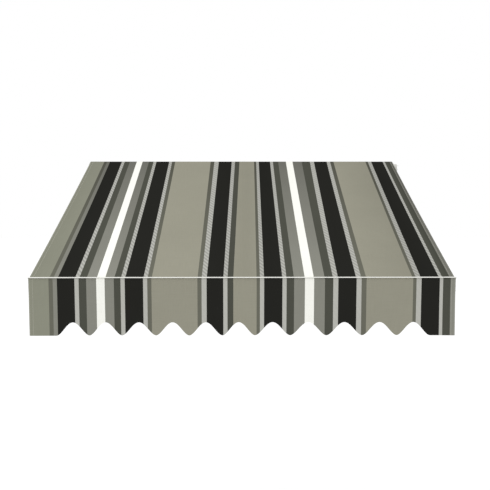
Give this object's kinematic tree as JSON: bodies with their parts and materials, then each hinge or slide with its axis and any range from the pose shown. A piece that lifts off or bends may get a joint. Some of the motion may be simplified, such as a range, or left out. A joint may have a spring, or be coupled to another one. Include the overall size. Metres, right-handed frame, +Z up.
{
  "type": "folding-arm fabric awning",
  "caption": "Retractable striped fabric awning on two folding arms, with a roller, a front bar and a deep wave-edged valance, for a wall.",
  "frame": {"origin": "centre of the middle wall bracket's back face, on the wall", "axes": "+X along the wall to the right as seen from the front, +Y into the wall, -Y out from it, +Z up"},
  "size_m": [2.4656, 1.9282, 1.0051],
  "materials": {
    "white_paint": "satin powder coat",
    "cast_white": "powder-coated casting",
    "zinc_plate": "bright zinc plate",
    "spring_steel": "oiled spring steel",
    "bronze_wheel": "machined bronze",
    "light_plastic": "moulded, matt",
    "striped_cloth": "woven, striped black, beige, grey and white"
  },
  "bodies": {
    "wall_brackets": {"wall_bracket_left": "white_paint", "wall_bracket_middle": "white_paint", "wall_bracket_right": "white_paint", "tilt_bolt_left": "zinc_plate", "tilt_bolt_middle": "zinc_plate", "tilt_bolt_right": "zinc_plate"},
    "carrier": {"tilt_shoe_left": "cast_white", "tilt_shoe_middle": "cast_white", "tilt_shoe_right": "cast_white", "lock_bolt_left": "zinc_plate", "lock_bolt_middle": "zinc_plate", "lock_bolt_right": "zinc_plate", "shoe_screw_left": "zinc_plate", "shoe_screw_middle": "zinc_plate", "shoe_screw_right": "zinc_plate", "torsion_bar": "white_paint", "torsion_bar_cap_left": "light_plastic", "torsion_bar_cap_right": "light_plastic", "roller_bracket_left": "cast_white", "roller_bracket_right": "cast_white", "shoulder_bracket_left": "cast_white", "shoulder_bracket_right": "cast_white", "shoulder_screw_left": "zinc_plate", "shoulder_screw_right": "zinc_plate", "shoulder_pin_left": "zinc_plate", "shoulder_pin_right": "zinc_plate", "gear_housing": "cast_white", "crank_gland": "light_plastic", "cover": "striped_cloth"},
    "roller": {"roller_tube": "zinc_plate", "cloth_turns": "striped_cloth", "roller_plug_left": "light_plastic", "roller_plug_right": "light_plastic", "worm_wheel": "bronze_wheel"},
    "crank": {"crank_worm": "zinc_plate"},
    "left_upper_arm": {"upper_arm_left": "white_paint", "shoulder_knuckle_left": "cast_white", "elbow_fork_left": "cast_white", "elbow_pin_left": "zinc_plate"},
    "left_forearm": {"forearm_left": "white_paint", "elbow_knuckle_left": "cast_white", "wrist_knuckle_left": "cast_white", "arm_spring_left": "spring_steel"},
    "right_upper_arm": {"upper_arm_right": "white_paint", "shoulder_knuckle_right": "cast_white", "elbow_fork_right": "cast_white", "elbow_pin_right": "zinc_plate"},
    "right_forearm": {"forearm_right": "white_paint", "elbow_knuckle_right": "cast_white", "wrist_knuckle_right": "cast_white", "arm_spring_right": "spring_steel"},
    "front_bar_body": {"front_bar": "white_paint", "front_bar_cap_left": "light_plastic", "front_bar_cap_right": "light_plastic", "bar_bracket_left": "cast_white", "bar_bracket_right": "cast_white", "wrist_pin_left": "zinc_plate", "wrist_pin_right": "zinc_plate", "valance": "striped_cloth"}
  },
  "joints": [
    {"name": "tilt", "type": "hinge", "parent": "wall_brackets", "child": "carrier", "pos_m": [0, -0.035, -0.01], "axis": [1, 0, 0], "range_deg": [-13, 12]},
    {"name": "left_shoulder", "type": "hinge", "parent": "carrier", "child": "left_upper_arm", "pos_m": [-1.08, -0.1729, -0.04533], "axis": [0, -0.3156, 0.9489], "range_deg": [0, 73], "deforming": ["cover"]},
    {"name": "left_elbow", "type": "hinge", "parent": "left_upper_arm", "child": "left_forearm", "pos_m": [-0.84706, -0.99779, -0.31974], "axis": [0, -0.3156, 0.9489], "range_deg": [-146, 0]},
    {"name": "left_wrist", "type": "hinge", "parent": "left_forearm", "child": "front_bar_body", "pos_m": [-1.08, -1.82268, -0.59414], "axis": [0, -0.3156, 0.9489], "range_deg": [0, 73]},
    {"name": "right_shoulder", "type": "hinge", "parent": "carrier", "child": "right_upper_arm", "pos_m": [1.08, -0.1729, -0.04533], "axis": [0, -0.3156, 0.9489], "range_deg": [-73, 0]},
    {"name": "right_elbow", "type": "hinge", "parent": "right_upper_arm", "child": "right_forearm", "pos_m": [0.84706, -0.99779, -0.31974], "axis": [0, -0.3156, 0.9489], "range_deg": [0, 146]},
    {"name": "roller_spin", "type": "hinge", "parent": "carrier", "child": "roller", "pos_m": [0, -0.11432, 0.07005], "axis": [-1, 0, 0], "range_deg": [0, 2320]},
    {"name": "crank_spin", "type": "hinge", "parent": "carrier", "child": "crank", "pos_m": [1.2308, -0.09398, 0.05987], "axis": [0, 0.4478, 0.8942], "range_deg": [0, 25500]}
  ],
  "couplings": [
    {"joint": "left_elbow", "follows": "left_shoulder", "ratio": -2},
    {"joint": "left_wrist", "follows": "left_shoulder", "ratio": 1},
    {"joint": "right_shoulder", "follows": "left_shoulder", "ratio": -1},
    {"joint": "right_elbow", "follows": "left_shoulder", "ratio": 2},
    {"joint": "roller_spin", "follows": "left_shoulder", "ratio": 31.618},
    {"joint": "crank_spin", "follows": "left_shoulder", "ratio": 347.8}
  ]
}
